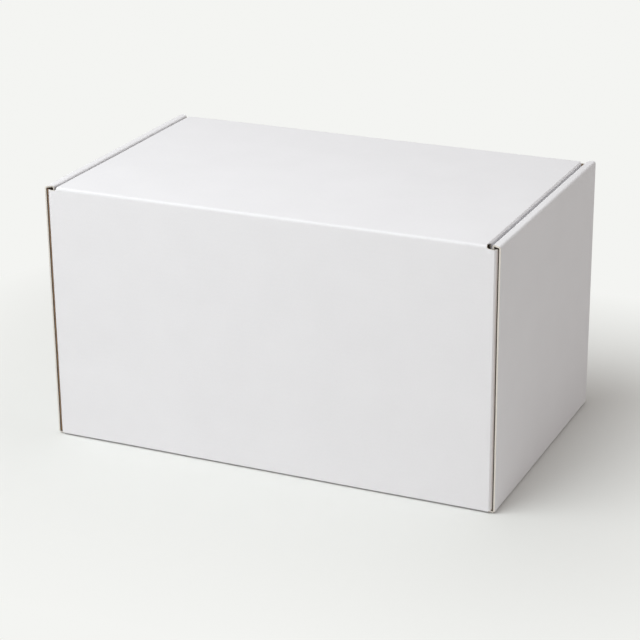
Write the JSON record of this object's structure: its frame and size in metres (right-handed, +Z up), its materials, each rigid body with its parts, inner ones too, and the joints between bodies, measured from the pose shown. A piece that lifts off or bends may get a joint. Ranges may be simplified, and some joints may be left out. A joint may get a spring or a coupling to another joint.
{
  "type": "corrugated mailer box",
  "caption": "Closed die-cut corrugated mailer box, white outside and brown inside, with rolled-over end walls, a hinged lid with side flaps and a tuck flap.",
  "frame": {"origin": "centre of the footprint on the underside", "axes": "+X along the box from one rolled end wall to the other, +Y from the hinge wall to the front wall, +Z up"},
  "size_m": [0.3, 0.1826, 0.1685],
  "materials": {
    "tray_board": "matt white-lined fluted board with a brown inside",
    "lid_board": "matt white-lined fluted board with a brown inside",
    "flap_board": "matt white-lined fluted board with a brown inside"
  },
  "bodies": {
    "tray": {"tray": "tray_board"},
    "lid": {"lid": "lid_board"},
    "tuck_flap": {"tuck_flap": "flap_board"}
  },
  "joints": [
    {"name": "lid_hinge", "type": "hinge", "parent": "tray", "child": "lid", "pos_m": [0, -0.09055, 0.1678], "axis": [1, 0, 0], "range_deg": [0, 120]},
    {"name": "tuck_flap_crease", "type": "hinge", "parent": "lid", "child": "tuck_flap", "pos_m": [0, 0.08602, 0.16667], "axis": [1, 0, 0], "range_deg": [-54, 0]}
  ],
  "couplings": [
    {"joint": "tuck_flap_crease", "follows": "lid_hinge", "ratio": -0.45}
  ]
}
